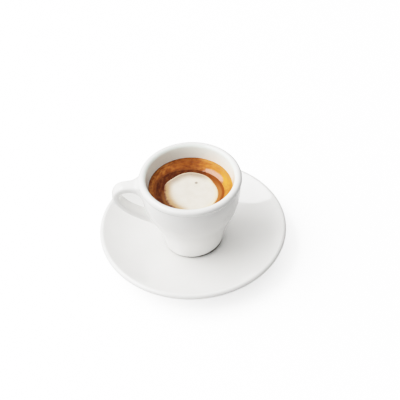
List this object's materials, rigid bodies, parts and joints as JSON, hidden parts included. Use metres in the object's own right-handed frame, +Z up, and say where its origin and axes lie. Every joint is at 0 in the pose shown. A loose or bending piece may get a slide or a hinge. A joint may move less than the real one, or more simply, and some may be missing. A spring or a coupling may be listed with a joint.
{
  "type": "espresso macchiato",
  "caption": "Espresso macchiato in a thick white porcelain cup with a strap handle, golden crema round a spot of milk foam, standing on its saucer.",
  "frame": {"origin": "middle of the saucer's foot ring, on the table", "axes": "+Z up; the cup's handle points along -X; the picture looks along +Y, from above"},
  "size_m": [0.12, 0.12, 0.0622],
  "materials": {
    "porcelain": "smooth white glaze",
    "coffee": "dark brown liquid",
    "crema": "golden brown coffee foam with fine bubbles, satin",
    "milk_foam": "fine white milk foam"
  },
  "bodies": {
    "root": {"cup": "porcelain", "saucer": "porcelain", "espresso": "coffee", "crema": "crema", "milk_foam": "milk_foam"}
  },
  "joints": []
}
